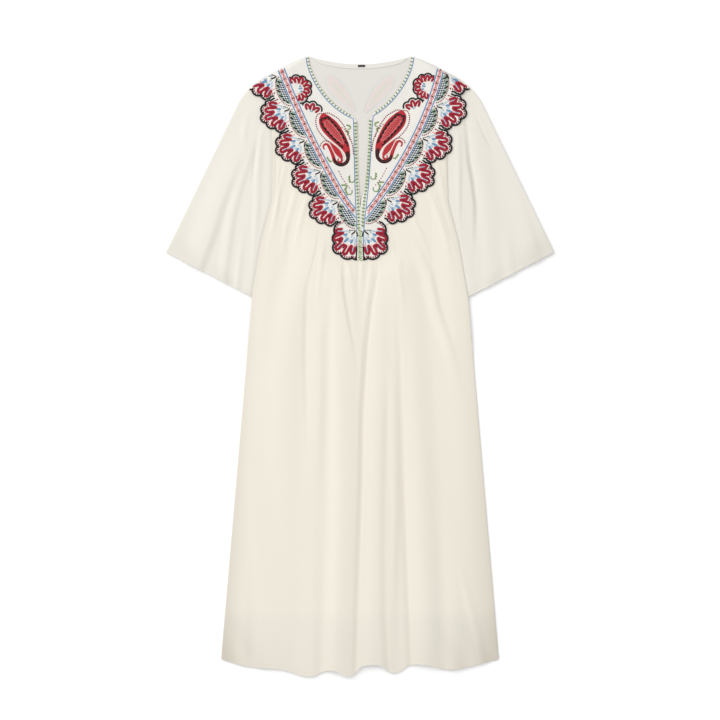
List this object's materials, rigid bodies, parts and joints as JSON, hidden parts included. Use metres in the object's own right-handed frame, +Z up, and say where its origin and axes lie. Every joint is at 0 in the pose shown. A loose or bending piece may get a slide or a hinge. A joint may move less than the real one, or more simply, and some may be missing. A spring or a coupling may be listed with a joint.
{
  "type": "kaftan dress",
  "caption": "Kaftan dress laid flat: wide short sleeves, a body gathered onto a scalloped V-shaped yoke with paisley embroidery, and a slit round neck.",
  "frame": {"origin": "middle of the laid-out dress's box, on the surface it lies on", "axes": "+Y from the hem to the neck, +X to the right as seen from above, +Z up out of the front of the dress"},
  "size_m": [0.776, 1.2389, 0.0112],
  "materials": {
    "body_cloth": "ivory crepe, matt",
    "yoke_cloth": "off-white linen weave, matt, with coloured embroidery",
    "facing_cloth": "off-white cotton, matt",
    "label_tape": "black woven tape"
  },
  "bodies": {
    "root": {"back_body": "body_cloth", "front_body": "body_cloth", "sleeve_left": "body_cloth", "sleeve_right": "body_cloth", "back_yoke": "yoke_cloth", "front_yoke_left": "yoke_cloth", "front_yoke_right": "yoke_cloth", "back_neck_facing": "facing_cloth", "neck_label": "label_tape"}
  },
  "joints": []
}
